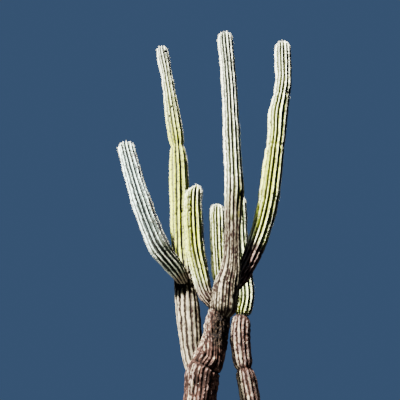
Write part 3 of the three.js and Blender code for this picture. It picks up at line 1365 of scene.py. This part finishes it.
@dataclass
class TallArm(RibbedStem):
    """The tall yellow-green arm on the left stem, in two growths."""

    name: str = "tall_arm_skin"
    nodes: tuple[str, ...] = ("tall_arm_lower", "tall_arm_upper")
    slot: Slot = Slot.GREEN
    seed: int = 9
    ribs: int = 11
    foot: float = 0.1
    green_furrow: float = 0.27
    roughness: float = 0.4
    stations: Stations = (
        (-0.217, 0.39, 3.93, 0.208),
        (-0.245, 0.405, 4.15, 0.210),
        (-0.295, 0.425, 4.6, 0.198),
        (-0.325, 0.445, 5.3, 0.206),
        (-0.355, 0.475, 6.05, 0.228),
        (-0.385, 0.495, 6.72, 0.222),
        (-0.445, 0.515, 7.4, 0.198),
        (-0.56, 0.535, 8.14, 0.196),
        (-0.666, 0.552, 8.88, 0.173),
        (-0.776, 0.57, 9.6, 0.158),
        (-0.89, 0.588, 10.23, 0.166),
        (-0.985, 0.6, 10.8, 0.161),
    )
    wood: Levels = ((3.9, 0.8), (4.3, 0.4), (4.7, 0.1), (5.4, 0.0))
    bleach: Levels = ((3.9, 0.4), (4.6, 0.1), (7.2, 0.0), (8.2, 0.4), (10.8, 0.95))
    joints: tuple[Joint, ...] = (Joint(7.29, 0.25, 0.14, 0.0, 0.05),)
    twist: Levels = ((0.0, -0.49),)
    marks: tuple[Mark, ...] = (
        Mark(8.43, -3, 0.030, 0.038, 0.03),
        Mark(8.14, -30, 0.022, 0.026, 0.02),
        Mark(10.49, 29, 0.028, 0.034, 0.03),
        Mark(9.55, 4, 0.020, 0.026, 0.02),
        Mark(5.5, 10, 0.03, 0.07, 0.03, 0.8, 1.0),
        Mark(5.42, 22, 0.022, 0.03, 0.03, 0.9, 1.0),
        Mark(6.19, -11, 0.012, 0.02, 0.015),
        # Painted shadow of the left arm on the tall arm's left side.
        Mark(4.5, -68, 0.09, 0.48, 0.0, 0.85, 0.6),
    )


@dataclass
class LeftArm(RibbedStem):
    """The grey arm that bends out to the left from the left stem."""

    name: str = "left_arm_skin"
    nodes: tuple[str, ...] = ("left_arm_elbow", "left_arm")
    slot: Slot = Slot.GREY
    seed: int = 3
    stations: Stations = (
        (-0.148, 0.34, 3.784, 0.09),
        (-0.332, 0.12, 4.035, 0.17),
        (-0.66, -0.13, 4.385, 0.2),
        (-0.853, -0.18, 4.78, 0.201),
        (-1.041, -0.2, 5.25, 0.203),
        (-1.226, -0.16, 5.769, 0.196),
        (-1.535, 0.04, 6.76, 0.195),
        (-1.622, 0.12, 7.085, 0.186),
    )
    wood: Levels = ((3.8, 1.0), (4.0, 0.5), (4.15, 0.2), (4.3, 0.0))
    bleach: Levels = ((3.8, 0.8), (4.8, 1.6), (6.0, 1.9), (7.2, 1.3))


@dataclass
class CentreArm(RibbedStem):
    """The tall arm on top of the trunk, with a foot that overhangs its seat."""

    name: str = "centre_arm_skin"
    nodes: tuple[str, ...] = ("centre_arm_lower", "centre_arm_upper")
    slot: Slot = Slot.GREY
    seed: int = 4
    foot: float = 0.19
    roughness: float = 0.45
    stations: Stations = (
        (0.52, -0.08, 3.075, 0.262),
        (0.56, -0.095, 3.36, 0.27),
        (0.625, -0.108, 3.66, 0.26),
        (0.708, -0.115, 3.94, 0.212),
        (0.755, -0.12, 4.29, 0.174),
        (0.783, -0.128, 4.72, 0.17),
        (0.812, -0.138, 5.23, 0.185),
        (0.848, -0.145, 5.72, 0.208),
        (0.85, -0.152, 6.35, 0.192),
        (0.845, -0.162, 7.1, 0.197),
        (0.846, -0.175, 8.0, 0.19),
        (0.832, -0.183, 8.8, 0.188),
        (0.806, -0.192, 9.6, 0.193),
        (0.786, -0.2, 10.08, 0.195),
        (0.784, -0.202, 10.42, 0.19),
    )
    wood: Levels = (
        (3.6, 1.0), (4.2, 0.85), (4.9, 0.62), (5.6, 0.5), (5.94, 0.44), (6.05, 0.15), (6.4, 0.0),
    )
    bleach: Levels = (
        (3.0, 0.1), (3.7, 0.5), (4.1, 0.45), (4.6, 0.1), (5.3, 0.2), (6.0, 0.7), (10.4, 1.1),
    )
    joints: tuple[Joint, ...] = (Joint(6.33, 0.03, 0.07),)
    twist: Levels = ((3.2, 0.9), (4.5, 0.0))
    split: Levels = ((3.2, 0.7), (4.5, 0.6), (5.2, 0.0))
    wood_furrow: float = 0.15
    marks: tuple[Mark, ...] = (
        Mark(9.28, -22, 0.025, 0.03, 0.03),
        Mark(5.62, -23, 0.02, 0.03, 0.025),
        Mark(5.56, 56, 0.05, 0.11, 0.02, 1.0, 1.0),
        Mark(5.3, -5, 0.012, 0.02, 0.02),
        Mark(4.9, -30, 0.014, 0.03, 0.02),
    )


@dataclass
class ShortArm(RibbedStem):
    """The short yellow-green arm in front of the fork."""

    name: str = "short_arm_skin"
    nodes: tuple[str, ...] = ("short_arm_elbow", "short_arm")
    slot: Slot = Slot.GREEN
    seed: int = 5
    stations: Stations = (
        (0.43, -0.095, 3.23, 0.07),
        (0.275, -0.11, 3.42, 0.122),
        (0.191, -0.12, 3.61, 0.148),
        (0.058, -0.178, 4.21, 0.182),
        (0.01, -0.215, 4.62, 0.19),
        (-0.02, -0.27, 5.4, 0.188),
        (0.038, -0.3, 5.75, 0.170),
    )
    twist: Levels = ((3.4, 0.0), (4.2, -0.45))
    wood: Levels = ((3.3, 0.9), (3.7, 0.45), (4.2, 0.0))
    bleach: Levels = ((3.3, 0.4), (4.6, 0.2), (5.2, 0.3), (5.8, 0.65))
    marks: tuple[Mark, ...] = (
        Mark(5.82, -62, 0.13, 0.17, 0.13, 0.0),
        Mark(5.41, -32, 0.028, 0.034, 0.025),
        Mark(5.25, -21, 0.03, 0.036, 0.025),
        Mark(5.13, -30, 0.024, 0.03, 0.025),
        Mark(5.05, -15, 0.028, 0.036, 0.025),
        Mark(5.2, -66, 0.03, 0.05, 0.02, 0.9, 1.0),
        Mark(4.78, -28, 0.014, 0.02, 0.02),
    )


@dataclass
class RightArm(RibbedStem):
    """The long arm that bends out to the right from the centre arm."""

    name: str = "right_arm_skin"
    nodes: tuple[str, ...] = ("right_arm_elbow", "right_arm_lower", "right_arm_upper")
    slot: Slot = Slot.GREEN
    seed: int = 6
    stations: Stations = (
        (0.741, 0.02, 3.627, 0.092),
        (0.864, 0.057, 3.786, 0.139),
        (0.984, 0.103, 3.98, 0.163),
        (1.289, 0.215, 4.613, 0.198),
        (1.566, 0.215, 5.425, 0.223),
        (1.722, 0.225, 6.15, 0.235),
        (1.856, 0.243, 6.849, 0.223),
        (1.972, 0.255, 7.431, 0.222),
        (2.063, 0.264, 8.077, 0.242),
        (2.197, 0.272, 8.642, 0.217),
        (2.311, 0.28, 9.213, 0.206),
        (2.374, 0.29, 9.959, 0.216),
        (2.422, 0.3, 10.65, 0.210),
    )
    wood: Levels = ((3.7, 1.0), (4.2, 0.95), (4.6, 0.5), (5.0, 0.0))
    bleach: Levels = (
        (3.7, -0.6), (4.2, -0.4), (4.6, 0.4), (5.4, 0.35), (6.5, 0.25), (8.6, 0.6), (10.6, 0.85),
    )
    joints: tuple[Joint, ...] = (Joint(7.09, 0.04, 0.085, 0.2), Joint(8.71, 0.1, 0.1, 0.1))


@dataclass
class RearStem(RibbedStem):
    """The thinner stem behind the trunk, with two deep growth joints."""

    name: str = "rear_stem_skin"
    nodes: tuple[str, ...] = (
        "rear_stem_root", "rear_stem_foot", "rear_stem_middle", "rear_stem_top",
    )
    slot: Slot = Slot.WOOD
    seed: int = 7
    rooted: bool = True
    roughness: float = 0.8
    stations: Stations = (
        (0.24, 0.144, -0.063, 0.23),
        (0.57, 0.484, 0.159, 0.237),
        (0.886, 0.88, 0.508, 0.233),
        (1.086, 1.181, 0.977, 0.215),
        (1.136, 1.28, 1.47, 0.197),
        (1.082, 1.29, 2.011, 0.204),
        (0.999, 1.31, 2.509, 0.208),
        (0.981, 1.325, 2.953, 0.223),
        (1.029, 1.34, 3.375, 0.206),
        (1.129, 1.352, 3.786, 0.21),
        (1.115, 1.37, 4.327, 0.212),
        (1.081, 1.395, 5.116, 0.202),
        (1.085, 1.415, 5.764, 0.201),
        (1.103, 1.43, 6.39, 0.195),
    )
    wood: Levels = ((3.36, 1.0), (3.42, 0.1), (3.8, 0.0))
    bleach: Levels = ((2.2, -0.05), (3.3, -0.05), (3.5, -0.6), (4.2, -0.9), (6.0, -1.0))
    joints: tuple[Joint, ...] = (Joint(2.315, 0.14, 0.103, 0.5), Joint(3.397, 0.2, 0.103, 0.7))


@dataclass
class RearArm(RibbedStem):
    """The pale green arm that leaves the rear stem towards the left."""

    name: str = "rear_arm_skin"
    nodes: tuple[str, ...] = ("rear_arm_elbow", "rear_arm")
    slot: Slot = Slot.GREEN
    seed: int = 8
    stations: Stations = (
        (1.105, 1.36, 3.688, 0.087),
        (0.938, 1.32, 3.763, 0.138),
        (0.736, 1.2, 3.872, 0.159),
        (0.592, 1.06, 4.102, 0.166),
        (0.54, 0.99, 4.488, 0.172),
        (0.524, 0.98, 5.511, 0.18),
        (0.529, 0.99, 5.94, 0.174),
    )
    wood: Levels = ((3.5, 0.5), (3.9, 0.0))
    bleach: Levels = ((3.5, 0.45), (5.8, 0.6))


@dataclass(frozen=True)
class Lamp:
    """A far lamp, placed by its angles in degrees.

    The azimuth is 0 behind the viewer and 90 to the left. The softness is the
    angle that the lamp fills in the sky.
    """

    name: str
    azimuth: float
    elevation: float
    strength: float
    softness: float

    def hang(self) -> None:
        """Adds the lamp to the scene, turned towards the plant."""
        lamp = bpy.data.lights.new(self.name, "SUN")
        lamp.energy = self.strength
        lamp.angle = math.radians(self.softness)
        turn, lift = math.radians(self.azimuth), math.radians(self.elevation)
        level = math.cos(lift)
        towards = Vector((-math.sin(turn) * level, -math.cos(turn) * level, math.sin(lift)))
        stand = bpy.data.objects.new(self.name, lamp)
        stand.rotation_euler = towards.to_track_quat("Z", "Y").to_euler()
        bpy.context.scene.collection.objects.link(stand)


@dataclass(frozen=True)
class Studio:
    """The floor, the light and the camera, which looks up by its pitch in degrees."""

    eye: tuple[float, float, float] = (0.12, -7.6, 1.6)
    pitch: float = 27.5
    lens: float = 36.0
    sensor: float = 36.0
    clip_end: float = 300.0
    floor_radius: float = 4.5
    floor_sides: int = 96
    floor_colour: Colour = (0.062, 0.059, 0.055)
    floor_roughness: float = 0.9
    surround_colour: Colour = (0.10, 0.19, 0.38)
    surround_strength: float = 0.45
    key: Lamp = Lamp("key", azimuth=45.5, elevation=50.0, strength=66.0, softness=3.0)
    fill: Lamp = Lamp("back_fill", azimuth=180.0, elevation=35.0, strength=18.0, softness=35.0)

    def build_floor(self) -> None:
        """Lays the plain floor, whose grey looks pale under the strong key light."""
        disc = bmesh.new()
        bmesh.ops.create_circle(
            disc, cap_ends=True, segments=self.floor_sides, radius=self.floor_radius
        )
        mesh = bpy.data.meshes.new("floor")
        disc.to_mesh(mesh)
        disc.free()
        tree = NodeTree("floor_plain")
        tree.finish("Base Color", self.floor_colour)
        tree.finish("Roughness", self.floor_roughness)
        mesh.materials.append(tree.material)
        floor = link("floor", mesh)

    def build_lights(self) -> None:
        """Sets the key light, a soft fill that lights the back, and a plain surround."""
        self.key.hang()
        self.fill.hang()
        world = bpy.data.worlds.new("surround")
        world.use_nodes = True
        surround = world.node_tree.nodes["Background"]
        surround.inputs["Color"].default_value = (*self.surround_colour, 1.0)
        surround.inputs["Strength"].default_value = self.surround_strength
        bpy.context.scene.world = world

    def build_camera(self) -> None:
        """Sets the camera at eye height, looking up at the plant."""
        data = bpy.data.cameras.new("camera")
        data.lens = self.lens
        data.sensor_width = self.sensor
        data.clip_end = self.clip_end
        camera = bpy.data.objects.new("camera", data)
        camera.location = self.eye
        camera.rotation_euler = (math.radians(90 + self.pitch), 0.0, 0.0)
        bpy.context.scene.collection.objects.link(camera)
        bpy.context.scene.camera = camera


def main() -> None:
    """Builds the plant and its studio."""
    logging.basicConfig(level=logging.INFO, format="%(message)s")
    finishes = Finishes(
        skin=SkinFinish().make(),
        spines=(
            DryFinish("spine_straw", (0.30, 0.26, 0.15)).make(),
            DryFinish("spine_grey", (0.13, 0.12, 0.10)).make(),
            DryFinish("spine_white", (0.60, 0.58, 0.48)).make(),
        ),
        wool=(
            DryFinish("wool_white", (0.56, 0.54, 0.38), 0.95).make(),
            DryFinish("wool_grey", (0.14, 0.13, 0.085), 0.95).make(),
        ),
    )
    kinds = (Trunk, LeftStem, TallArm, LeftArm, CentreArm, ShortArm, RightArm, RearStem, RearArm)
    for kind in kinds:
        for piece in kind().build(finishes):
            LOG.info("%s: %d faces", piece.name, len(piece.data.polygons))
    studio = Studio()
    studio.build_floor()
    studio.build_lights()
    studio.build_camera()


if __name__ == "__main__":
    main()
